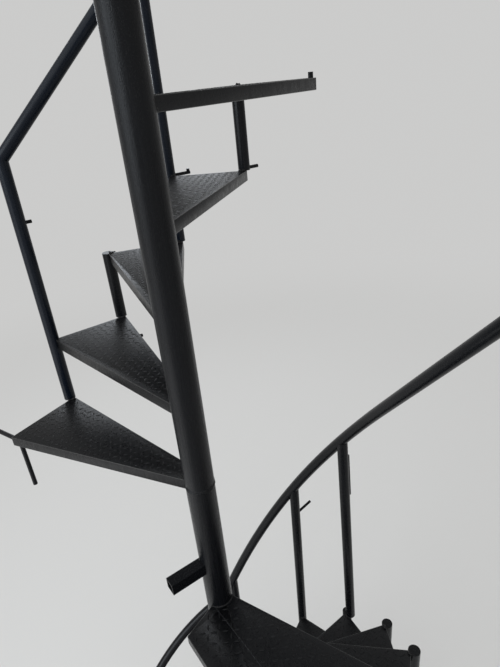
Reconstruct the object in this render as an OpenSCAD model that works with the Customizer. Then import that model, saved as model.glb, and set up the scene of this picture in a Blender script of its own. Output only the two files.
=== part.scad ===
// Steel spiral staircase on one centre pole, with two flights that meet at a terrace floor.
// The origin is the centre of the base plate's underside, on the ground floor.
// Azimuths are degrees from +X towards +Y, and both flights climb clockwise seen from above.

/* [Centre pole] */
// Outer diameter of the centre pole
pole_d = 88.9; // [75:0.1:110]
// Wall thickness of the centre pole
pole_wall = 5.5; // [3:0.1:10]
// Height of the pole above the highest tread
pole_above = 950; // [300:10:1300]
// Height of the weld collar where the two lengths of pole meet
collar_h = 12; // [6:1:20]
// How far the weld collar stands proud of the pole
collar_proud = 2.5; // [1:0.1:6]
// Drop from the first upper tread's top to the top of the weld collar, which ends against the tread
collar_drop = 15; // [10:1:20]
// Thickness of the cap on top of the pole
cap_t = 8; // [4:1:20]

/* [Base plate] */
// Side of the square base plate
base_w = 260; // [200:5:360]
// Thickness of the base plate
base_t = 12; // [6:1:25]
// Distance between the anchor holes, along each side
base_hole_pitch = 200; // [160:5:240]
// Diameter of the anchor holes
base_hole_d = 14; // [8:0.5:20]
// Corner radius of the base plate
base_corner_r = 12; // [2:1:30]

/* [Treads] */
// Width of a tread at the pole's axis, where its two long edges end
narrow_w = 46; // [20:1:80]
// Thickness of the checker plate
plate_t = 4.5; // [3:0.5:10]
// Height of a tread's edge, from its top to the bottom of its skirt
skirt_h = 35; // [27:1:80]
// Thickness of the skirt
skirt_t = 4.5; // [3:0.5:10]

/* [Lower flight] */
// Distance from the pole's axis to the outer corners of the lower treads
lower_tread_r = 650; // [560:1:900]
// Angle from one lower tread to the next
lower_step = 23.3; // [16:0.1:30]
// Rise from tread to tread in the lower flight
lower_riser = 243.5; // [180:0.5:320]
// Drop from the terrace to the landing plate, the highest tread of the lower flight
terrace_drop = 303; // [120:1:350]
// Azimuth of the front edge of the lower flight's highest tread
lower_top_az = -65.5; // [-90:0.5:-40]
// Distance behind the pole's axis, along the terrace's edge, to the corner of the landing plate
landing_back = 60; // [50:1:150]

/* [Upper flight] */
// Distance from the pole's axis to the outer corners of the upper treads
upper_tread_r = 741.5; // [600:0.5:1000]
// Angle from one upper tread to the next
upper_step = 21; // [16:0.1:30]
// Angle by which each upper tread reaches in under the next one
upper_lap = 1; // [0:0.1:2]
// Rise from the terrace to the first tread of the upper flight
first_rise = 221; // [120:1:350]
// Rise from tread to tread in the upper flight
upper_riser = 259; // [180:1:320]
// How far the fourth upper tread was welded on too low
fourth_drop = 16; // [0:1:25]
// Azimuth of the front edge of the upper flight's first tread
upper_start_az = 123; // [100:0.1:140]

/* [Handrails] */
// Outer diameter of the handrails, posts and links
tube_d = 42.2; // [25:0.1:60]
// Gap between a post or tread and the round tube it is welded to
weld_gap = 0.3; // [0.1:0.05:1]
// Gap between a post and the bent handrail in its saddle, at the middle of the saddle's length
saddle_gap = 0.25; // [0.2:0.05:0.3]
// How far the posts, the links and the lower handrail stand outside the treads' corners
post_out = 10; // [0:1:15]
// Height of the upper handrail at its first post, above the tread under it
first_rail_h = 893; // [600:1:1200]
// Height of the upper handrail at its other posts, above the treads under them
rail_h = 912; // [600:1:1200]
// How far a handrail runs on past its last post
rail_end = 45; // [30:1:120]
// Azimuth where the lower handrail leaves its bend and runs straight on to its newel
bend_az = -10; // [-30:1:0]
// Distance from that place to the newel on the terrace
newel_run = 640; // [600:1:800]
// Height of the lower handrail above the terrace, at its newel
newel_rail_h = 943; // [800:1:1100]
// Height of the lower handrail above the terrace, where it leaves its bend
bend_rail_h = 205; // [100:1:350]
// Drop from the terrace to the lower handrail, at the second post
second_post_drop = 395; // [300:1:550]
// Drop from the terrace to the lower handrail, at the third post
third_post_drop = 1060; // [900:1:1100]
// Height of the lower handrail at its bottom post, above the tread under it
bottom_rail_h = 700; // [550:1:1000]
// Angle between the first post and the front corner of its tread
first_post_angle = 1.8; // [0:0.1:4]
// Lean of the first post, as an angle about the pole's axis
first_post_lean = 3.4; // [0:0.1:4]
// Angle between the third post and the front corner of its tread
third_post_angle = 15.5; // [10:0.1:17]

/* [Ties and rods] */
// Side of the square tube that ties the pole to the terrace's edge
tie_w = 40; // [25:1:60]
// Wall thickness of that tube
tie_wall = 3; // [2:0.5:6]
// Distance from the pole's axis to the terrace's edge
tie_reach = 160; // [90:1:300]
// Drop from the terrace to the top of the tie
tie_drop = 108; // [20:1:150]
// Diameter of the round bars that brace the stair
rod_d = 16; // [8:1:20]
// Distance from the front corner of the first upper tread to its floor leg, along each edge
leg_inset = 16; // [14:1:60]
// Length of the bar from the first upper tread to the wall
wall_bar_l = 200; // [120:5:400]
// Diameter of the short rods left on the posts
stub_d = 12; // [8:1:16]
// Side of the square foot under the newel on the terrace
foot_w = 110; // [90:1:160]
// Thickness of that foot
foot_t = 6; // [4:1:12]
// Distance between the holes in the foot, along each side
foot_hole_pitch = 80; // [70:1:100]
// Diameter of the holes in the foot
foot_hole_d = 9; // [5:0.5:12]

/* [Hidden] */

$fn = 48;
lower_count = 10;
upper_count = 10;
enamel = [0.07, 0.07, 0.08];
far = 4000;

pole_r = pole_d / 2;
tube_r = tube_d / 2;
// Angle of a tread's wedge, which in the lower flight leaves a little free to the next one
lower_wedge = lower_step - 0.1;
upper_wedge = upper_step + upper_lap;
lower_top_z = lower_count * lower_riser;
terrace_z = lower_top_z + terrace_drop;
first_z = terrace_z + first_rise;
collar_z = first_z - collar_drop - collar_h;
splice_z = collar_z + collar_h / 2;
pole_top_z = first_z + (upper_count - 1) * upper_riser + pole_above;
upper_post_r = upper_tread_r + post_out;
lower_post_r = lower_tread_r + post_out;

// A point at a distance from the pole's axis, on an azimuth and at a height
function at(r, az, z = 0) = [r * cos(az), r * sin(az), z];
function unit(v) = v / norm(v);

// Front azimuth and top of each tread, numbered from the foot of its flight
function lower_az(k) = lower_top_az + (lower_count - k) * lower_step;
function lower_z(k) = k * lower_riser;
function upper_az(n) = upper_start_az - (n - 1) * upper_step;
function upper_z(n) = first_z + (n - 1) * upper_riser - (n == 4 ? fourth_drop : 0);

// Corner of an outline's edges i and i + 1 once each edge has moved inwards by t
function edge_in(p, i, t) =
    let (a = p[i], b = p[(i + 1) % len(p)], u = unit(b - a)) [a + t * [-u.y, u.x], u];
function crossing(e, f) =
    let (d = f[0] - e[0], c = e[1].x * f[1].y - e[1].y * f[1].x)
    e[0] + e[1] * (d.x * f[1].y - d.y * f[1].x) / c;
function inset(p, t) =
    [for (i = [0 : len(p) - 1]) crossing(edge_in(p, (i + len(p) - 1) % len(p), t), edge_in(p, i, t))];

// Round bar from one point to another, with its first vertex on the upper side
module bar(a, b, d) {
    v = b - a;
    translate(a)
        rotate([0, acos(v.z / norm(v)), atan2(v.y, v.x)])
            rotate(180)
                cylinder(d = d, h = norm(v));
}

// Everything on the side of a plane that its normal points to
module beyond(p, n) {
    translate(p)
        rotate([0, acos(n.z / norm(n)), atan2(n.y, n.x)])
            translate([-far / 2, -far / 2, 0])
                cube(far);
}

// Tread outline, anticlockwise: inner and outer rear corners, then outer and inner front corners
function tread_outline(az, r, wedge) =
    let (side = at(narrow_w / 2, az - wedge / 2 + 90))
    [[-side.x, -side.y],
     [r * cos(az - wedge), r * sin(az - wedge)],
     [r * cos(az), r * sin(az)],
     [side.x, side.y]];
first_outline = tread_outline(upper_start_az, upper_tread_r, upper_wedge);

// The lower flight's highest tread is a landing plate, which fills the corner under the terrace's edge
landing_front = tread_outline(lower_top_az, lower_tread_r, lower_wedge);
landing_outline = [
    [-tie_reach, -landing_back],
    [-tie_reach, landing_front[2].y],
    landing_front[2],
    landing_front[3]
];

// Checker plate with a skirt welded under its edges, cut to fit the pole.
// notch is the axis of a post or link at the front corner, where there is one.
module tread(outline, top, notch) {
    pocket = inset(outline, skirt_t);
    difference() {
        translate([0, 0, top - skirt_h])
            linear_extrude(skirt_h)
                polygon(outline);
        translate([0, 0, top - skirt_h - 1])
            linear_extrude(skirt_h - plate_t + 1)
                polygon(pocket);
        translate([0, 0, top - skirt_h - 1])
            cylinder(r = pole_r + weld_gap, h = skirt_h + 2);
        if (notch)
            translate([notch.x, notch.y, top - skirt_h - 1])
                cylinder(r = tube_r + weld_gap, h = skirt_h + 2);
    }
}

module base_plate() {
    color(enamel)
        difference() {
            linear_extrude(base_t)
                union() {
                    for (turn = [0, 90])
                        rotate(turn)
                            square([base_w, base_w - 2 * base_corner_r], center = true);
                    for (x = [-1, 1], y = [-1, 1])
                        translate([x, y] * (base_w / 2 - base_corner_r))
                            circle(r = base_corner_r);
                }
            for (x = [-1, 1], y = [-1, 1])
                translate([x * base_hole_pitch / 2, y * base_hole_pitch / 2, -1])
                    cylinder(d = base_hole_d, h = base_t + 2);
        }
}

module pole_length(z0, z1) {
    color(enamel)
        translate([0, 0, z0])
            difference() {
                cylinder(r = pole_r, h = z1 - z0);
                translate([0, 0, -1])
                    cylinder(r = pole_r - pole_wall, h = z1 - z0 + 2);
            }
}

// Ring of weld, open where the first upper tread meets the pole
module weld_collar() {
    color(enamel)
        translate([0, 0, collar_z])
            difference() {
                cylinder(r = pole_r + collar_proud, h = collar_h);
                translate([0, 0, -1])
                    cylinder(r = pole_r + weld_gap / 2, h = collar_h + 2);
                translate([0, 0, -1])
                    linear_extrude(collar_h + 2)
                        polygon(inset(first_outline, -weld_gap));
            }
}

module pole_cap() {
    color(enamel)
        translate([0, 0, pole_top_z])
            rotate_extrude()
                polygon([[0, 0], [pole_r, 0], [pole_r, cap_t / 2], [pole_r - cap_t / 2, cap_t], [0, cap_t]]);
}

// Square tube from the pole to the terrace's edge, on the side away from both flights
module terrace_tie() {
    color(enamel)
        difference() {
            translate([-tie_reach, -tie_w / 2, terrace_z - tie_drop - tie_w])
                cube([tie_reach, tie_w, tie_w]);
            translate([-tie_reach - 1, tie_wall - tie_w / 2, terrace_z - tie_drop - tie_w + tie_wall])
                cube([tie_reach + 1, tie_w - 2 * tie_wall, tie_w - 2 * tie_wall]);
            translate([0, 0, terrace_z - tie_drop - tie_w - 1])
                cylinder(r = pole_r + weld_gap, h = tie_w + 2);
        }
}

// Bends of the upper handrail, one over every second corner. The middle one has lost its post.
rail_bends = 5;
post_bends = [0, 1, 3, 4];
function rail_tread(i) = 2 * i + 1;

// Upper treads whose front corner meets a post or a link
post_treads = [for (i = post_bends) rail_tread(i) + 1];
link_treads = [for (i = [1 : rail_bends - 1]) rail_tread(i)];
function has(list, n) = len(search(n, list)) > 0;

module lower_tread(k) {
    outline = k == lower_count ? landing_outline : tread_outline(lower_az(k), lower_tread_r, lower_wedge);
    color(enamel)
        tread(outline, lower_z(k), k > 1 ? at(lower_post_r, lower_az(k)) : undef);
}

module upper_tread(n) {
    notched = has(post_treads, n) || has(link_treads, n);
    color(enamel)
        tread(tread_outline(upper_az(n), upper_tread_r, upper_wedge), upper_z(n),
            notched ? at(upper_post_r, upper_az(n)) : undef);
}

// Short tube from one tread's rear corner up to the top of the next tread's front corner
module link(r, az, z0, z1) {
    translate(at(r, az, z0))
        cylinder(r = tube_r, h = z1 - z0);
}

module lower_links() {
    color(enamel)
        for (k = [2 : lower_count])
            link(lower_post_r, lower_az(k), lower_z(k - 1), lower_z(k));
}

module upper_links() {
    color(enamel)
        for (n = link_treads)
            link(upper_post_r, upper_az(n), upper_z(n - 1), upper_z(n));
}

// Value at x of the smooth curve through the points of table
function smooth(table, x) =
    let (terms = [for (p = table)
        p.y * product([for (q = table) if (q.x != p.x) (x - q.x) / (p.x - q.x)])])
    total(terms);
function product(v, i = 0) = i == len(v) ? 1 : v[i] * product(v, i + 1);
function total(v, i = 0) = i == len(v) ? 0 : v[i] + total(v, i + 1);

// Azimuths of the lower posts
first_post_az = lower_az(7) - first_post_angle;
second_post_az = lower_az(6);
third_post_az = lower_az(4) - third_post_angle;
bottom_post_az = lower_az(1);

// Distance along the lower handrail, from the upper end of its bend: positive runs down the flight,
// round the pole, and negative runs straight up to the newel.
mm_per_degree = lower_post_r * PI / 180;
function bend_s(az) = (az - bend_az) * mm_per_degree;
newel_s = -newel_run;
third_s = bend_s(third_post_az);
bottom_s = bend_s(bottom_post_az);

// The rail is jointed below the third post, just past its saddle
joint_s = third_s + 1.3 * tube_d;
newel_slope = (newel_rail_h - bend_rail_h) / newel_run;

// Length over which the curve of heights still runs on at the straight rail's slope
lead = 40;
rail_heights = [
    [-lead, bend_rail_h + newel_slope * lead],
    [0, bend_rail_h],
    [bend_s(second_post_az), -second_post_drop],
    [third_s, -third_post_drop]
];
joint_z = terrace_z + smooth(rail_heights, joint_s);
foot_slope = (joint_z - lower_z(1) - bottom_rail_h) / (bottom_s - joint_s);

// Height of the lower handrail's centre: straight up to the newel, and straight on below the joint
function rail_z(s) =
    s < 0 ? terrace_z + bend_rail_h - s * newel_slope
    : s < joint_s ? terrace_z + smooth(rail_heights, s)
    : joint_z - (s - joint_s) * foot_slope;
function rail_side(s) = at(1, s < 0 ? bend_az : bend_az + s / mm_per_degree);
function rail_point(s) =
    let (side = rail_side(s), run = min(s, 0))
    [lower_post_r * side.x - run * side.y, lower_post_r * side.y + run * side.x, rail_z(s)];
function rail_ahead(s) = unit(rail_point(s + 1) - rail_point(s - 1));

rail_sides = 20;
rail_step = 40;

// Round tube along the lower handrail's line, from s0 to s1
module rail_sweep(s0, s1) {
    rings = ceil((s1 - s0) / rail_step);
    points = [
        for (i = [0 : rings])
            let (s = s0 + (s1 - s0) * i / rings,
                 u = rail_side(s),
                 w = cross(rail_ahead(s), u))
            for (j = [0 : rail_sides - 1])
                let (turn = 360 * j / rail_sides)
                rail_point(s) + tube_r * (cos(turn) * u + sin(turn) * w)
    ];
    walls = [
        for (i = [0 : rings - 1], j = [0 : rail_sides - 1])
            let (a = i * rail_sides, b = a + rail_sides, k = (j + 1) % rail_sides)
            [a + j, b + j, b + k, a + k]
    ];
    start = [for (j = [0 : rail_sides - 1]) j];
    end = [for (j = [rail_sides - 1 : -1 : 0]) rings * rail_sides + j];
    polyhedron(points, concat(walls, [start, end]));
}

module lower_handrail() {
    color(enamel)
        rail_sweep(newel_s - rail_end, joint_s);
}

module foot_handrail() {
    color(enamel)
        rail_sweep(joint_s, bottom_s + rail_end);
}

// How far the bent rail bows away from a straight saddle within a post's width
rail_bow = pow(tube_d, 2) / (4 * lower_post_r);
saddle_reach = 3 * tube_d;

// Post from a point up to the lower handrail at s, cut to the rail's round underside
module rail_post(foot, s) {
    top = rail_point(s);
    ahead = rail_ahead(s);
    color(enamel)
        difference() {
            bar(foot - unit(top - foot) * tube_r, top, tube_d);
            beyond(foot, [0, 0, -1]);
            bar(top - ahead * saddle_reach, top + ahead * saddle_reach, tube_d + 2 * (saddle_gap + rail_bow));
        }
}

module lower_post(az, tread_z, lean) {
    rail_post(at(lower_post_r, az, tread_z), bend_s(az + lean));
}

// Where the newel stands on the terrace
newel_at = rail_point(newel_s);

module terrace_newel() {
    rail_post([newel_at.x, newel_at.y, terrace_z + foot_t], newel_s);
}

module newel_foot() {
    color(enamel)
        translate([newel_at.x, newel_at.y, terrace_z])
            difference() {
                translate([-foot_w / 2, -foot_w / 2, 0])
                    cube([foot_w, foot_w, foot_t]);
                for (x = [-1, 1], y = [-1, 1])
                    translate([x * foot_hole_pitch / 2, y * foot_hole_pitch / 2, -1])
                        cylinder(d = foot_hole_d, h = foot_t + 2);
            }
}

// Points where the upper handrail bends
function kink(i) =
    at(upper_post_r, upper_az(rail_tread(i) + 1),
        upper_z(rail_tread(i)) + (i == 0 ? first_rail_h : rail_h));
function kink_way(i) = unit(kink(i + 1) - kink(i));
up = [0, 0, 1];

// Straight length of upper handrail, mitred to its neighbours
module upper_handrail(i) {
    way = kink_way(i);
    before = i == 0 ? up : kink_way(i - 1);
    last = i == rail_bends - 2;
    color(enamel)
        difference() {
            bar(kink(i) - way * tube_d, kink(i + 1) + way * (last ? rail_end : tube_d), tube_d);
            beyond(kink(i), -(before + way));
            if (!last)
                beyond(kink(i + 1), way + kink_way(i + 1));
        }
}

// Tall post that stands on a tread's rear corner and passes the front corner of the next tread
module upper_post(i) {
    foot = [kink(i).x, kink(i).y, upper_z(rail_tread(i))];
    color(enamel)
        difference() {
            bar(foot, kink(i) + up * (i == 0 ? tube_d : 0), tube_d);
            if (i == 0)
                beyond(kink(i), up + kink_way(0));
            if (i > 0)
                bar(kink(i) - kink_way(i - 1) * tube_d * 2, kink(i) + kink_way(i - 1) * rail_end,
                    tube_d + 2 * weld_gap);
            if (i > 0 && i < rail_bends - 1)
                bar(kink(i) - kink_way(i) * tube_d / 2, kink(i) + kink_way(i) * tube_d * 2,
                    tube_d + 2 * weld_gap);
        }
}

// Round bar from the terrace to the underside of the first upper tread, inside its front corner
module floor_leg() {
    corner = inset(first_outline, leg_inset)[2];
    color(enamel)
        translate([corner.x, corner.y, terrace_z])
            cylinder(d = rod_d, h = first_rise - plate_t);
}

// Stubs left of wall rods: radius and azimuth of the tube they are welded to, height over the
// terrace, length outside the tube, climb, and height of the upturned end
stubs = [
    [upper_post_r, upper_az(2), first_rise + 689, 18, 0, 0],
    [upper_post_r, upper_az(3), first_rise + 2 * upper_riser - stub_d / 2 - 1, 8, 0, 0],
    [upper_post_r, upper_az(4), first_rise + 3 * upper_riser - fourth_drop, 62, 0, 14],
    [upper_post_r, upper_az(5), first_rise + 3 * upper_riser - fourth_drop + stub_d / 2 + 0.5, 38, 0, 0],
    [lower_post_r, second_post_az, -second_post_drop - 165, 70, 23, 0]
];

// Short rod that runs towards +X from an upright tube
module stub(r, az, z, length, climb, tip) {
    p = at(r, az, terrace_z + z);
    end = p + [tube_r + length, 0, climb];
    difference() {
        bar(p, end, stub_d);
        translate([p.x, p.y, p.z - tube_d])
            cylinder(r = tube_r + weld_gap, h = 2 * tube_d);
    }
    if (tip > 0)
        translate([end.x - stub_d / 2, end.y, end.z])
            cylinder(d = stub_d, h = tip);
}

// Rod welded along the first post, over a drop from the terrace
module post_rod(drop, length) {
    foot = at(lower_post_r, first_post_az, lower_z(7));
    way = unit(rail_point(bend_s(first_post_az + first_post_lean)) - foot);
    top = foot + way * (terrace_z - drop - foot.z) + [tube_r + stub_d / 2 + weld_gap, 0, 0];
    bar(top - way * length, top, stub_d);
}

// Round bar that leaves edge i of a tread's outline squarely, back from that edge's far corner
module edge_bar(outline, i, back, top, length, d) {
    ahead = unit(outline[i + 1] - outline[i]);
    foot = outline[i + 1] - ahead * back;
    start = [foot.x, foot.y, top - skirt_h / 2];
    difference() {
        bar(start, start + length * [ahead.y, -ahead.x, 0], d);
        translate([0, 0, top - skirt_h])
            linear_extrude(skirt_h)
                polygon(inset(outline, -weld_gap));
    }
}

// What is left of a post beside the fifth upper tread's rear corner
module post_stump(height) {
    corner = inset(tread_outline(upper_az(5), upper_tread_r, upper_wedge), stub_d)[1];
    translate([corner.x, corner.y, upper_z(5)])
        cylinder(d = rod_d, h = height);
}

// Knob left on the second upper tread's rear edge: distance back from the outer corner, and length
knob_back = 183;
knob_l = 14;
stump_h = 17;

// Rod along the first post: drop of its top from the terrace, and length
post_rod_drop = 115;
post_rod_l = 200;

// Bar from the first upper tread to the wall, and what is left of other bars and rods
module wall_rods() {
    second_outline = tread_outline(upper_az(2), upper_tread_r, upper_wedge);
    color(enamel) {
        edge_bar(first_outline, 1, leg_inset, first_z, wall_bar_l, rod_d);
        edge_bar(second_outline, 0, knob_back, upper_z(2), knob_l, stub_d);
        post_stump(stump_h);
        post_rod(post_rod_drop, post_rod_l);
        for (s = stubs)
            stub(s[0], s[1], s[2], s[3], s[4], s[5]);
    }
}

base_plate();
pole_length(base_t, splice_z);  // lower_pole
weld_collar();
pole_length(splice_z, pole_top_z);  // upper_pole
pole_cap();
terrace_tie();
for (k = [1 : lower_count])
    lower_tread(k);
for (n = [1 : upper_count])
    upper_tread(n);
lower_links();
upper_links();
lower_handrail();
foot_handrail();
terrace_newel();
newel_foot();
lower_post(first_post_az, lower_z(7), first_post_lean);  // first_post
lower_post(second_post_az, lower_z(6), 0);  // second_post
lower_post(third_post_az, lower_z(4), 0);  // third_post
lower_post(bottom_post_az, lower_z(1), 0);  // bottom_post
for (i = [0 : rail_bends - 2])
    upper_handrail(i);
for (i = [0 : len(post_bends) - 1])
    upper_post(post_bends[i]);
floor_leg();
wall_rods();
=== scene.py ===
"""Looks of a black enamelled steel spiral staircase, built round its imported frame. Lengths are in metres."""

import itertools
import math
from collections import namedtuple

import bmesh
import bpy
from mathutils import Matrix, Vector, noise
from mathutils.bvhtree import BVHTree


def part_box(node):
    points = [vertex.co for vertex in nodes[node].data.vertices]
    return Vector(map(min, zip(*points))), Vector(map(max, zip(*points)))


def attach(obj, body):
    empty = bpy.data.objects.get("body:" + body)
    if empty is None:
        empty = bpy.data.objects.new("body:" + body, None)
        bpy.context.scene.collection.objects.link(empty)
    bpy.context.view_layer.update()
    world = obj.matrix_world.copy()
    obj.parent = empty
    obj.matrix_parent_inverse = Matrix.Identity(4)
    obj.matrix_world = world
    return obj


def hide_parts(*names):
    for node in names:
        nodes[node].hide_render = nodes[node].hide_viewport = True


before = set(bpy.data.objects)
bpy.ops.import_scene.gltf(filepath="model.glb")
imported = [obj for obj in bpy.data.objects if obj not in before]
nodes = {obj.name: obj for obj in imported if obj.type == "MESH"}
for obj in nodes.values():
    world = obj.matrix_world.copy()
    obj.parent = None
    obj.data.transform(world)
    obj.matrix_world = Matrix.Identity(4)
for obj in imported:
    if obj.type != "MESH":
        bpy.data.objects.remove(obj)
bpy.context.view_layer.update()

# Sizes and names that the details take from the frame
POLE_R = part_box("upper_pole")[1].x
TUBE_R = (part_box("bottom_post")[1].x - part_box("bottom_post")[0].x) / 2
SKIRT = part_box("upper_tread_1")[1].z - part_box("upper_tread_1")[0].z
NEWEL_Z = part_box("newel_foot")[0].z
LOWER_TREADS = [f"lower_tread_{n}" for n in range(1, 11)]
UPPER_TREADS = [f"upper_tread_{n}" for n in range(1, 11)]
TREADS = LOWER_TREADS + UPPER_TREADS


# Camera

PHOTO_W, PHOTO_H = 500, 667
SENSOR_W = 36.0
FOCAL_PX = 511.88
CLIP_END = 200.0
CAMERA_AT = Vector((-0.48537, -1.1028, NEWEL_Z + 1.26605))
CAMERA_YAW = math.radians(56.971)
CAMERA_PITCH = math.radians(-26.175)
CAMERA_ROLL = math.radians(5.683)


def make_camera():
    """The photograph's camera, turned by its yaw, pitch and roll."""
    data = bpy.data.cameras.new("camera")
    data.sensor_width = SENSOR_W
    data.lens = SENSOR_W * FOCAL_PX / max(PHOTO_W, PHOTO_H)
    data.clip_end = CLIP_END
    camera = bpy.data.objects.new("camera", data)
    bpy.context.scene.collection.objects.link(camera)
    bpy.context.scene.camera = camera
    level = math.cos(CAMERA_PITCH)
    ahead = Vector((level * math.cos(CAMERA_YAW), level * math.sin(CAMERA_YAW), math.sin(CAMERA_PITCH)))
    right = Vector((math.sin(CAMERA_YAW), -math.cos(CAMERA_YAW), 0.0))
    down = ahead.cross(right)
    rolled_right = math.cos(CAMERA_ROLL) * right + math.sin(CAMERA_ROLL) * down
    rolled_down = math.cos(CAMERA_ROLL) * down - math.sin(CAMERA_ROLL) * right
    turn = Matrix((rolled_right, -rolled_down, -ahead)).transposed()
    camera.matrix_world = Matrix.Translation(CAMERA_AT) @ turn.to_4x4()


# Materials

class Graph:
    """Adds nodes to a material or to the world, and links them."""

    def __init__(self, owner):
        owner.use_nodes = True
        self.tree = owner.node_tree
        self.tree.nodes.clear()

    def add(self, kind, inputs=None, **settings):
        """A node whose inputs are set to values or linked to other nodes' outputs."""
        made = self.tree.nodes.new(kind)
        for name, value in settings.items():
            setattr(made, name, value)
        for name, value in (inputs or {}).items():
            if isinstance(value, bpy.types.NodeSocket):
                self.tree.links.new(value, made.inputs[name])
            else:
                made.inputs[name].default_value = value
        return made

    def mottle(self, place, scale, octaves):
        """Soft noise with scale cells a metre, and octaves of finer noise on it."""
        inputs = {"Vector": place, "Scale": scale, "Detail": octaves}
        return self.add("ShaderNodeTexNoise", inputs).outputs["Fac"]

    def span(self, value, start, end, low=0.0, high=1.0, **settings):
        """The value's way from start to end, stretched to the way from low to high."""
        inputs = {"Value": value, "From Min": start, "From Max": end, "To Min": low, "To Max": high}
        return self.add("ShaderNodeMapRange", inputs, **settings).outputs["Result"]

    def calc(self, operation, *values):
        return self.add("ShaderNodeMath", dict(enumerate(values)), operation=operation).outputs[0]

    def blend(self, share, a, b):
        """Colour a, with a share of colour b."""
        inputs = {"Factor": share, "A": a, "B": b}
        return self.add("ShaderNodeMix", inputs, data_type="RGBA").outputs["Result"]


# Cells a metre and octaves of the clouds of dust, the brush strokes across their length, and the paint's peel
CLOUDS = (9.0, 4.0)
STROKES = (160.0, 3.0)
PEEL = (420.0, 2.0)
SPECK_OCTAVES = 1.0

# How far up a face turns to gather dust, where the clouds gather it, and its least share between them
FACES_UP = (0.2, 1.0)
CLOUDY = (0.35, 0.75)
LEAST_DUST = 0.3

# Where the specks wear through, and where the strokes go from smooth to rough
WORN_THROUGH = (0.66, 0.72)
SMOOTH_TO_ROUGH = (0.3, 0.7)

# Colours of dust and flecks, and how much lighter the paint is in its cloudy places
DUST_GREY = (0.11, 0.105, 0.098, 1.0)
FLECK_GREY = (0.10, 0.095, 0.09, 1.0)
CLOUD_LIFT = 1.5

# How far dust roughens the paint, how high the strokes stand against the peel, and how strong the relief is
DUST_ROUGHENS = 0.35
STROKE_HEIGHT = 0.6
RELIEF_STRENGTH = 0.35


def enamel(name, color, roughness, spread=0.06, ior=1.3, brush=(1.0, 1.0, 1.0), depth=0.0004, dust=0.05,
           grain=0.0, wear=0.35, flecks=900.0):
    """Black enamel brushed on steel. Its strokes are depth metres deep, vary its roughness by spread, and are
    stretched along an axis by brush. dust greys what faces up, grain roughens the skin as paint over mill
    scale does, wear is how far its flecks show, and flecks is how fine they are."""
    material = bpy.data.materials.new(name)
    g = Graph(material)
    place = g.add("ShaderNodeTexCoord").outputs["Object"]
    brushed = g.add("ShaderNodeMapping", {"Vector": place, "Scale": brush}).outputs["Vector"]
    clouds = g.mottle(place, *CLOUDS)
    strokes = g.mottle(brushed, *STROKES)
    peel = g.mottle(place, *PEEL)
    specks = g.mottle(place, flecks, SPECK_OCTAVES)

    facing = g.add("ShaderNodeSeparateXYZ", {"Vector": g.add("ShaderNodeNewGeometry").outputs["Normal"]})
    upward = g.span(facing.outputs["Z"], *FACES_UP)
    patchy = g.span(clouds, *CLOUDY, low=LEAST_DUST)
    dusty = g.calc("MULTIPLY", g.calc("MULTIPLY", upward, patchy), dust)
    tint = g.blend(clouds, (*color, 1.0), (*[c * CLOUD_LIFT for c in color], 1.0))
    greyed = g.blend(dusty, tint, DUST_GREY)
    worn = g.span(specks, *WORN_THROUGH)
    flecked = g.blend(g.calc("MULTIPLY", worn, wear), greyed, FLECK_GREY)

    smooth = g.span(strokes, *SMOOTH_TO_ROUGH, roughness - spread, roughness + spread)
    rough = g.calc("MULTIPLY_ADD", dusty, DUST_ROUGHENS, smooth)

    height = g.calc("MULTIPLY_ADD", strokes, STROKE_HEIGHT, peel)
    skin = g.calc("MULTIPLY_ADD", specks, grain, height)
    bump = g.add("ShaderNodeBump", {"Height": skin, "Strength": RELIEF_STRENGTH, "Distance": depth})
    shader = g.add("ShaderNodeBsdfPrincipled", {"Base Color": flecked, "Roughness": rough, "IOR": ior,
                                                "Normal": bump.outputs["Normal"]})
    g.add("ShaderNodeOutputMaterial", {"Surface": shader.outputs["BSDF"]})
    return material


BLACK = (0.0033, 0.0036, 0.0044)
# Black with a blue tint that is a painted reflection of bluish sky light, for the upper rails and posts
BLACK_WITH_PAINTED_BLUE_REFLECTION = (0.0029, 0.0047, 0.0084)
BEAD_BLACK = (0.006, 0.006, 0.007)
WORN_AND_HIGHLIT_BLACK = (0.028, 0.028, 0.028)
POLE_PAINT = enamel("pole_enamel", BLACK, 0.26, spread=0.14, ior=1.24, brush=(0.8, 0.8, 0.03), depth=0.0022)
TREAD_PAINT = enamel("tread_enamel", BLACK, 0.34, spread=0.12, brush=(1.0, 1.0, 0.2), dust=0.025, grain=0.9,
                     depth=0.0008)
# The rails' blue tint is a painted reflection of bluish light, not the paint's own colour
RAIL_PAINT = enamel("rail_enamel", BLACK_WITH_PAINTED_BLUE_REFLECTION, 0.25, ior=1.26)
POST_PAINT = enamel("post_enamel", BLACK, 0.25, ior=1.24)
WELD_PAINT = enamel("weld_enamel", BLACK, 0.22, ior=1.24, grain=0.8, wear=0.9)
BEAD_PAINT = enamel("bead_enamel", BEAD_BLACK, 0.26, ior=1.28, grain=2.0, wear=1.0, flecks=400.0,
                    depth=0.0016)
# Lighter paint for the treads' bevelled edges: partly worn paint, partly a painted highlight line along the
# nosing
EDGE_PAINT = enamel("edge_enamel", WORN_AND_HIGHLIT_BLACK, 0.28, ior=1.5, grain=0.6, wear=0.9, flecks=260.0)


def finish_of(name):
    """The paint of a node. The upper rails and their posts are a little bluer than the rest, which is a
    painted reflection of bluish sky light.
    """
    if "tread" in name or name == "base_plate":
        return TREAD_PAINT
    if "pole" in name:
        return POLE_PAINT
    if name.startswith(("upper_handrail", "upper_post")):
        return RAIL_PAINT
    return POST_PAINT


# Nodes and pieces

# Points of a node that lie this near to each other are one point
MERGE = 0.00001

# Width, steps and least angle of a tread's bevelled edges, painted lighter as worn paint and as a painted
# highlight along the nosing, and the angle that stays sharp on other nodes
EDGE_W = 0.0016
EDGE_STEPS = 2
EDGE_ANGLE = math.radians(40)
SPLIT_ANGLE = math.radians(35)


def shade_smooth(mesh):
    mesh.polygons.foreach_set("use_smooth", [True] * len(mesh.polygons))


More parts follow.
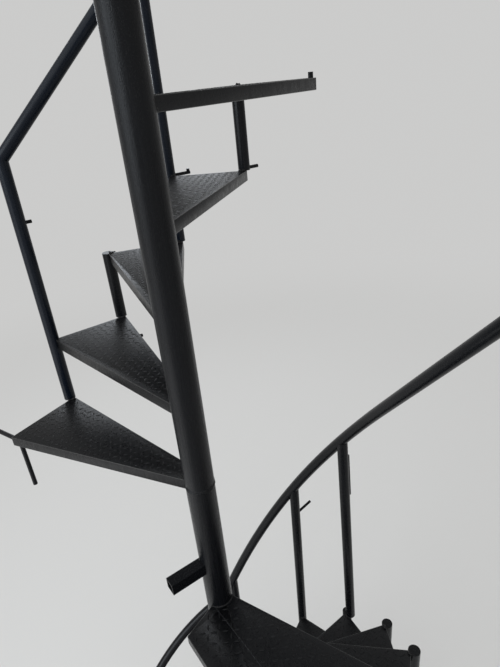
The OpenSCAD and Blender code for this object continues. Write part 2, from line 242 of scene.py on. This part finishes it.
def dress_node(name, node):
    """Paints a node and shades it smooth up to its sharp edges. A tread's edges are bevelled and painted
    lighter, as worn paint and as a painted highlight line along the nosing.
    """
    mesh = node.data
    mesh.materials.clear()
    mesh.materials.append(finish_of(name))
    shade_smooth(mesh)
    weld = node.modifiers.new("weld", "WELD")
    weld.merge_threshold = MERGE
    if name in TREADS:
        # The lighter edge paint is partly worn paint and partly a painted highlight along the nosing
        mesh.materials.append(EDGE_PAINT)
        bevel = node.modifiers.new("bevel", "BEVEL")
        bevel.width = EDGE_W
        bevel.material = 1
        bevel.segments = EDGE_STEPS
        bevel.angle_limit = EDGE_ANGLE
        bevel.use_clamp_overlap = False
        bevel.harden_normals = True
    else:
        split = node.modifiers.new("split", "EDGE_SPLIT")
        split.split_angle = SPLIT_ANGLE


def new_piece(name, bm, material):
    """Turns a mesh under construction into a smooth piece of the stair."""
    mesh = bpy.data.meshes.new(name)
    bm.to_mesh(mesh)
    bm.free()
    mesh.materials.append(material)
    shade_smooth(mesh)
    piece = bpy.data.objects.new(name, mesh)
    bpy.context.scene.collection.objects.link(piece)
    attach(piece, "root")
    return piece


def surface_of(name):
    """Search tree of a node's surface, for rays."""
    bm = bmesh.new()
    bm.from_mesh(nodes[name].data)
    tree = BVHTree.FromBMesh(bm)
    bm.free()
    return tree


SURFACES = {name: surface_of(name) for name in TREADS + ["weld_collar"]}

# A ray that looks for a plate starts this far over its top, and reaches this far down
RAY_OVER = 0.01
RAY_REACH = 0.012


def over_plate(tree, x, y, top):
    """Whether the plate whose top is at that height lies under a place."""
    hit = tree.ray_cast(Vector((x, y, top + RAY_OVER)), Vector((0.0, 0.0, -1.0)), RAY_REACH)
    return hit[0] is not None


# A tread's rim lies past this radius, and its top's points within this depth
RIM_START = 0.58
TOP_BAND = 0.0005


def tread_axis(name):
    """Azimuth of a tread's centreline, halfway between its outer corners, and the height of its top."""
    mesh = nodes[name].data
    top = max(v.co.z for v in mesh.vertices)
    rim = [v.co.xy for v in mesh.vertices if v.co.z > top - TOP_BAND and v.co.xy.length > RIM_START]
    heading = sum((c.normalized() for c in rim), Vector((0.0, 0.0)))
    turns = [heading.angle_signed(c) for c in rim]
    return math.atan2(heading.y, heading.x) - (min(turns) + max(turns)) / 2, top


# Checker plate

# Raised bars, small on the upper treads and large on the lower ones
Bars = namedtuple("Bars", "length width height pitch")
SMALL_BARS = Bars(0.0195, 0.0052, 0.0009, 0.0235)
LARGE_BARS = Bars(0.022, 0.0060, 0.0012, 0.0265)

# How far the bars stay from a plate's edge, how far they sink in, and how they lean to both sides
EDGE_MARGIN = 0.006
BAR_SUNK = 0.0001
BAR_TURN = 45

# Steps along each side of a bar's outline, and how blunt its points are
OUTLINE_STEPS = 5
BLUNTNESS = 0.8

# Share of the outline's width and of the height, at each level of a bar, and how far its length follows
LENS_LEVELS = [(1.0, 0.0), (0.86, 0.7), (0.5, 1.0)]
LENGTH_TAPER = 0.4


def lens_outline(bars):
    """Plan of one raised bar, pointed at both ends."""
    points = []
    for side in (1, -1):
        for step in range(OUTLINE_STEPS):
            share = step / OUTLINE_STEPS
            along = side * (0.5 - share) * bars.length
            across = side * 0.5 * bars.width * math.sin(math.pi * share) ** BLUNTNESS
            points.append(Vector((along, across, 0.0)))
    return points


def add_bar(bm, bars, centre, turn):
    """One raised bar, narrower at each level."""
    spin = Matrix.Rotation(turn, 3, "Z")
    outline = lens_outline(bars)
    rings = []
    for spread, lift in LENS_LEVELS:
        shrink = (1.0 - LENGTH_TAPER) + LENGTH_TAPER * spread
        ring = [bm.verts.new(centre + spin @ Vector((p.x * shrink, p.y * spread, lift * bars.height)))
                for p in outline]
        rings.append(ring)
    count = len(outline)
    for low, high in zip(rings, rings[1:]):
        for i in range(count):
            j = (i + 1) % count
            bm.faces.new((low[i], low[j], high[j], high[i]))
    bm.faces.new(rings[-1])
    bm.faces.new(list(reversed(rings[0])))


def make_relief(name, axis, top, bars):
    """Checker pattern on one tread: bars on a square grid, turned alternately left and right."""
    tree = SURFACES[name]
    along = Vector((math.cos(axis), math.sin(axis)))
    across = Vector((-along.y, along.x))
    reach = bars.length / 2 + EDGE_MARGIN
    rows = math.ceil(max(c.xy.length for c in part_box(name)) / bars.pitch)
    bm = bmesh.new()
    for i in range(-rows, rows + 1):
        for j in range(-rows, rows + 1):
            centre = along * (i * bars.pitch) + across * (j * bars.pitch)
            turn = axis + math.radians(BAR_TURN if (i + j) % 2 else -BAR_TURN)
            way = Vector((math.cos(turn), math.sin(turn)))
            side = Vector((-way.y, way.x)) * (bars.width + EDGE_MARGIN)
            spots = [centre, centre + way * reach, centre - way * reach, centre + side, centre - side]
            if all(over_plate(tree, s.x, s.y, top) for s in spots):
                add_bar(bm, bars, Vector((centre.x, centre.y, top - BAR_SUNK)), turn)
    return new_piece(name + "_relief", bm, TREAD_PAINT)


def make_reliefs():
    """The reliefs of all treads. The landing isn't a plain wedge, so its axis carries on the treads' turn."""
    axes = {name: tread_axis(name) for name in TREADS}
    landing, last, before = LOWER_TREADS[-1], LOWER_TREADS[-2], LOWER_TREADS[-3]
    axes[landing] = (2 * axes[last][0] - axes[before][0], axes[landing][1])
    for name in TREADS:
        axis, top = axes[name]
        yield make_relief(name, axis, top, LARGE_BARS if name in LOWER_TREADS else SMALL_BARS)


# Weld beads

# Radius of a bead, length of its ripples, and how far its width wanders
Bead = namedtuple("Bead", "radius ripple lumps")
POLE_BEAD = Bead(0.0032, 0.0045, 0.5)
TUBE_BEAD = Bead(0.0052, 0.009, 1.0)
SEAM_BEAD = Bead(0.0018, 0.0045, 0.5)

# Seed of the first bead and step to the next one's. The seam is one bead, and the splice has a seed a row
POLE_SEEDS = (0, 7)
TUBE_SEEDS = (3, 5)
SEAM_SEED = 11
SPLICE_SEED_STEP = 17

# Points round a bead, depth of its ripples, lumps a metre, and share of its width at its ends
BEAD_SIDES = 8
RIPPLE_DEPTH = 0.22
LUMP_SCALE = 90.0
END_WIDTH = 0.45


def closest_shift(low, high):
    """How far a ring's points are turned against those of the ring before it."""
    return min(range(BEAD_SIDES), key=lambda s: (high[s].co - low[0].co).length)


def bead_ring(bm, point, ahead, size):
    """Points of one ring, square to the way ahead."""
    side = ahead.orthogonal().normalized()
    lift = ahead.cross(side)
    turns = [2 * math.pi * k / BEAD_SIDES for k in range(BEAD_SIDES)]
    return [bm.verts.new(point + size * (math.cos(a) * side + math.sin(a) * lift)) for a in turns]


def add_bead(bm, path, bead, seed, closed=False):
    """A rippled and lumpy bead of weld along a path of points."""
    rings = []
    length = 0.0
    count = len(path)
    for i, point in enumerate(path):
        before = path[i - 1] if closed or i else path[i]
        after = path[(i + 1) % count] if closed or i + 1 < count else path[i]
        if i:
            length += (point - path[i - 1]).length
        ripple = 1.0 + RIPPLE_DEPTH * abs(math.sin(math.pi * length / bead.ripple))
        wander = 1.0 + bead.lumps * noise.noise(point * LUMP_SCALE + Vector((seed, 0.0, 0.0)))
        size = bead.radius * ripple * wander
        if not closed and i in (0, count - 1):
            size *= END_WIDTH
        rings.append(bead_ring(bm, point, (after - before).normalized(), size))
    pairs = list(zip(rings, rings[1:]))
    if closed:
        pairs.append((rings[-1], rings[0]))
    for low, high in pairs:
        shift = closest_shift(low, high)
        for k in range(BEAD_SIDES):
            n = (k + 1) % BEAD_SIDES
            bm.faces.new((low[k], low[n], high[(n + shift) % BEAD_SIDES], high[(k + shift) % BEAD_SIDES]))
    if not closed:
        bm.faces.new(list(reversed(rings[0])))
        bm.faces.new(rings[-1])


# Fewest points of a stretch that gets a bead
LEAST_POINTS = 4


def stretches(points):
    """Splits a closed list that holds None into its unbroken stretches, each with whether it is closed."""
    if None not in points:
        return [(points, True)]
    start = points.index(None)
    turned = points[start:] + points[:start]
    runs, run = [], []
    for p in turned + [None]:
        if p is not None:
            run.append(p)
        elif run:
            runs.append((run, False))
            run = []
    return [r for r in runs if len(r[0]) >= LEAST_POINTS]


# How far outside a ring of points the plate has to reach
PLATE_REACH = 0.003


def foot_ring(x, y, top, tree, radius, steps):
    """Points round an upright tube, and None where no plate lies just outside it."""
    ring = []
    reach = radius + PLATE_REACH
    for i in range(steps):
        a = 2 * math.pi * i / steps
        on_plate = over_plate(tree, x + reach * math.cos(a), y + reach * math.sin(a), top)
        ring.append(Vector((x + radius * math.cos(a), y + radius * math.sin(a), top)) if on_plate else None)
    return ring


# How far outside the pole its beads' middles lie, points round it, and points down each end of a bead
POLE_BEAD_OUT = 0.0008
POLE_STEPS = 96
END_STEPS = 10


def with_ends(points):
    """The points, with a run up the tread's skirt before them and one down it after them."""
    drop = Vector((0.0, 0.0, -SKIRT))
    first = [points[0] + drop * (1 - s / END_STEPS) for s in range(END_STEPS)]
    last = [points[-1] + drop * s / END_STEPS for s in range(1, END_STEPS + 1)]
    return first + points + last


def pole_welds():
    """Beads where the treads meet the pole, along their tops and down their ends."""
    bm = bmesh.new()
    seeds = itertools.count(*POLE_SEEDS)
    for name in TREADS:
        top = tread_axis(name)[1]
        ring = foot_ring(0.0, 0.0, top, SURFACES[name], POLE_R + POLE_BEAD_OUT, POLE_STEPS)
        for points, closed in stretches(ring):
            path = points if closed else with_ends(points)
            add_bead(bm, path, POLE_BEAD, next(seeds), closed)
    return new_piece("pole_welds", bm, BEAD_PAINT)


# Points within this height of a tube's end are its rim
RIM_BAND = 0.0002


def linked_groups(bm):
    """A mesh's points in groups that its edges join, in the order of their first points."""
    seen = set()
    for start in bm.verts:
        if start in seen:
            continue
        seen.add(start)
        group, todo = [], [start]
        while todo:
            vert = todo.pop()
            group.append(vert)
            for edge in vert.link_edges:
                other = edge.other_vert(vert)
                if other not in seen:
                    seen.add(other)
                    todo.append(other)
        yield group


def middle_of(verts):
    return sum((v.co for v in verts), Vector()) / len(verts)


def tube_ends(name):
    """Lower and upper end of every tube in a node: the middle of its lowest and of its highest rim."""
    bm = bmesh.new()
    bm.from_mesh(nodes[name].data)
    bmesh.ops.remove_doubles(bm, verts=bm.verts, dist=MERGE)
    ends = []
    for group in linked_groups(bm):
        low, high = min(v.co.z for v in group), max(v.co.z for v in group)
        foot = middle_of([v for v in group if v.co.z < low + RIM_BAND])
        head = middle_of([v for v in group if v.co.z > high - RIM_BAND])
        ends.append((foot, head))
    bm.free()
    return ends


# How far outside a tube its beads' middles lie, points round it, and how near a tread its end may stop
TUBE_BEAD_OUT = 0.0006
TUBE_STEPS = 40
END_NEAR = 0.001


def tube_welds():
    """Beads round the posts and links, where they stand on a tread or pass a tread's corner."""
    bm = bmesh.new()
    seeds = itertools.count(*TUBE_SEEDS)
    uprights = [name for name in nodes if name.endswith("_links") or "_post" in name]
    tubes = [ends for name in uprights for ends in tube_ends(name)]
    radius = TUBE_R + TUBE_BEAD_OUT
    for name in TREADS:
        top = tread_axis(name)[1]
        for foot, head in tubes:
            if foot.z - END_NEAR < top < head.z + END_NEAR:
                middle = foot.lerp(head, (top - foot.z) / (head.z - foot.z))
                ring = foot_ring(middle.x, middle.y, top, SURFACES[name], radius, TUBE_STEPS)
                for points, closed in stretches(ring):
                    add_bead(bm, points, TUBE_BEAD, next(seeds), closed)
    return new_piece("tube_welds", bm, BEAD_PAINT)


# Half of a wedge's width at the pole, and how far behind its edge the seam runs there
NARROW_HALF = 0.023
SEAM_BACK = 0.012

# Steps of turn from the axis of the tread below to the rear edge of the landing's wedge
SEAM_TURNS = 1.5

# Number and spacing of the seam's points, and how far they lie below the plate's top
SEAM_POINTS = 200
SEAM_SPACING = 0.0035
SEAM_SUNK = 0.0009


def landing_seam():
    """Flat weld across the landing, along the line where its wedge meets the plate that fills the corner."""
    axis = tread_axis(LOWER_TREADS[-2])[0]
    step = tread_axis(LOWER_TREADS[-3])[0] - axis
    edge = axis - SEAM_TURNS * step
    ahead = Vector((math.cos(edge), math.sin(edge), 0.0))
    foot = Vector((ahead.y, -ahead.x, 0.0)) * (NARROW_HALF + SEAM_BACK)
    landing = LOWER_TREADS[-1]
    top = tread_axis(landing)[1]
    path = []
    for i in range(SEAM_POINTS):
        point = foot + ahead * (i * SEAM_SPACING) + Vector((0.0, 0.0, top - SEAM_SUNK))
        if over_plate(SURFACES[landing], point.x, point.y, top):
            path.append(point)
    bm = bmesh.new()
    add_bead(bm, path[1:-1], SEAM_BEAD, SEAM_SEED)
    new_piece("landing_seam", bm, WELD_PAINT)


# Rows of bead on the splice, points round a row, how far their middles lie inside the pole's face, and how
# far outside it the rays start that look for the collar
SPLICE_ROWS = 3
SPLICE_STEPS = 180
SPLICE_SUNK = 0.0008
SPLICE_RAY = 0.01


def splice_weld():
    """Rows of weld bead round the pole, in place of the plain collar and no further round than it."""
    low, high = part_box("weld_collar")
    radius = (high.z - low.z) / (2 * SPLICE_ROWS)
    bead = POLE_BEAD._replace(radius=radius)
    collar = SURFACES["weld_collar"]
    bm = bmesh.new()
    for row in range(SPLICE_ROWS):
        level = Vector((0.0, 0.0, low.z + radius * (2 * row + 1)))
        ring = []
        for i in range(SPLICE_STEPS):
            turn = 2 * math.pi * i / SPLICE_STEPS
            out = Vector((math.cos(turn), math.sin(turn), 0.0))
            hit = collar.ray_cast(out * (POLE_R + SPLICE_RAY) + level, -out, SPLICE_RAY)
            ring.append(out * (POLE_R - SPLICE_SUNK) + level if hit[0] is not None else None)
        for points, closed in stretches(ring):
            add_bead(bm, points, bead, SPLICE_SEED_STEP * row, closed)
    piece = new_piece("splice_weld", bm, WELD_PAINT)
    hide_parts("weld_collar")


# Stage and light

PALE = (0.60, 0.60, 0.595, 1.0)
FLOOR = (0.70, 0.68, 0.65, 1.0)
SOFT_SKY = (0.95, 0.97, 1.0, 1.0)
SKY_STRENGTH = 0.55

# Half of the floor's side, how far it lies below the stair's foot, and where it fades into the background
FLOOR_REACH = 60.0
FLOOR_DROP = 0.0005
FADE_START, FADE_END = 5.0, 11.0


def make_stage():
    """A pale floor that keeps the stair's shadow and fades into the background with distance."""
    bm = bmesh.new()
    bmesh.ops.create_grid(bm, x_segments=1, y_segments=1, size=FLOOR_REACH)
    mesh = bpy.data.meshes.new("floor")
    bm.to_mesh(mesh)
    bm.free()
    floor = bpy.data.objects.new("floor", mesh)
    floor.location.z = -FLOOR_DROP
    bpy.context.scene.collection.objects.link(floor)
    material = bpy.data.materials.new("floor_pale")
    g = Graph(material)
    place = g.add("ShaderNodeTexCoord").outputs["Object"]
    away = g.add("ShaderNodeVectorMath", {0: place}, operation="LENGTH").outputs["Value"]
    fade = g.span(away, FADE_START, FADE_END, interpolation_type="SMOOTHSTEP")
    lit = g.add("ShaderNodeBsdfDiffuse", {"Color": FLOOR})
    far = g.add("ShaderNodeEmission", {"Color": PALE, "Strength": 1.0})
    mixed = g.add("ShaderNodeMixShader", {0: fade, 1: lit.outputs[0], 2: far.outputs[0]})
    g.add("ShaderNodeOutputMaterial", {"Surface": mixed.outputs[0]})
    mesh.materials.append(material)
    return floor


def lamp_object(name, data, place, target):
    """Hangs a lamp at its place, facing its target, out of the camera's sight."""
    lamp = bpy.data.objects.new(name, data)
    bpy.context.scene.collection.objects.link(lamp)
    lamp.location = place
    lamp.rotation_mode = "QUATERNION"
    lamp.rotation_quaternion = (Vector(target) - Vector(place)).to_track_quat("-Z", "Y")
    lamp.visible_camera = False
    return lamp


def soft_sun(name, place, spread, strength, color):
    """Light from one side of the sky, spread over so many degrees."""
    data = bpy.data.lights.new(name, "SUN")
    data.angle = math.radians(spread)
    data.energy = strength
    data.color = color
    lamp_object(name, data, place, (0.0, 0.0, 0.0))


def softbox(name, place, target, size, radiance, color, spared=()):
    """A lamp with a rectangular face. The spared objects take no light from it."""
    data = bpy.data.lights.new(name, "AREA")
    data.shape = "RECTANGLE"
    data.size, data.size_y = size
    data.energy = radiance * math.pi * size[0] * size[1]
    data.color = color
    lamp = lamp_object(name, data, place, target)
    if spared:
        dark = bpy.data.collections.new(name + "_spares")
        for thing in spared:
            dark.objects.link(thing)
        for member in dark.collection_objects:
            member.light_linking.link_state = "EXCLUDE"
        lamp.light_linking.receiver_collection = dark


def make_lamps(floor, flats):
    """Daylight, and a softbox each for the streaks of light on the upper tubes, the lower tubes and the back.
    The first softbox spares the flat plates and the beads, which would shine too brightly."""
    soft_sun("daylight", place=(-4.0, -2.5, 7.0), spread=70.0, strength=1.0, color=(0.93, 0.97, 1.0))
    softbox("upper_left_box", place=(-3.9, 0.0, 5.3), target=(0.0, 0.0, 4.6), size=(3.6, 3.6),
            radiance=3.8, color=(0.85, 0.93, 1.0), spared=flats)
    softbox("lower_left_box", place=(-2.5, 0.1, 1.9), target=(0.0, 0.0, 2.4), size=(2.3, 3.0),
            radiance=1.05, color=(0.97, 0.98, 1.0), spared=[floor])
    softbox("back_box", place=(2.6, 6.5, 4.8), target=(0.1, 0.4, 3.6), size=(3.6, 1.5),
            radiance=2.3, color=(0.84, 0.91, 1.0))


def make_world():
    """Soft light from all round, with a pale background in the view, in gloss and through clear things."""
    world = bpy.data.worlds.new("world")
    bpy.context.scene.world = world
    g = Graph(world)
    path = g.add("ShaderNodeLightPath")
    seen = g.calc("MAXIMUM", path.outputs["Is Camera Ray"], path.outputs["Is Glossy Ray"])
    seen = g.calc("MAXIMUM", seen, path.outputs["Is Transmission Ray"])
    soft = g.add("ShaderNodeBackground", {"Color": SOFT_SKY, "Strength": SKY_STRENGTH})
    backdrop = g.add("ShaderNodeBackground", {"Color": PALE, "Strength": 1.0})
    mixed = g.add("ShaderNodeMixShader", {0: seen, 1: soft.outputs[0], 2: backdrop.outputs[0]})
    g.add("ShaderNodeOutputWorld", {"Surface": mixed.outputs[0]})


# The whole scene

make_camera()
for name, node in nodes.items():
    dress_node(name, node)
reliefs = list(make_reliefs())
welds = [pole_welds(), tube_welds()]
landing_seam()
splice_weld()
flats = [nodes[name] for name in TREADS + ["base_plate", "newel_foot"]]
make_lamps(make_stage(), flats + reliefs + welds)
make_world()
bpy.context.scene.view_settings.view_transform = "Standard"
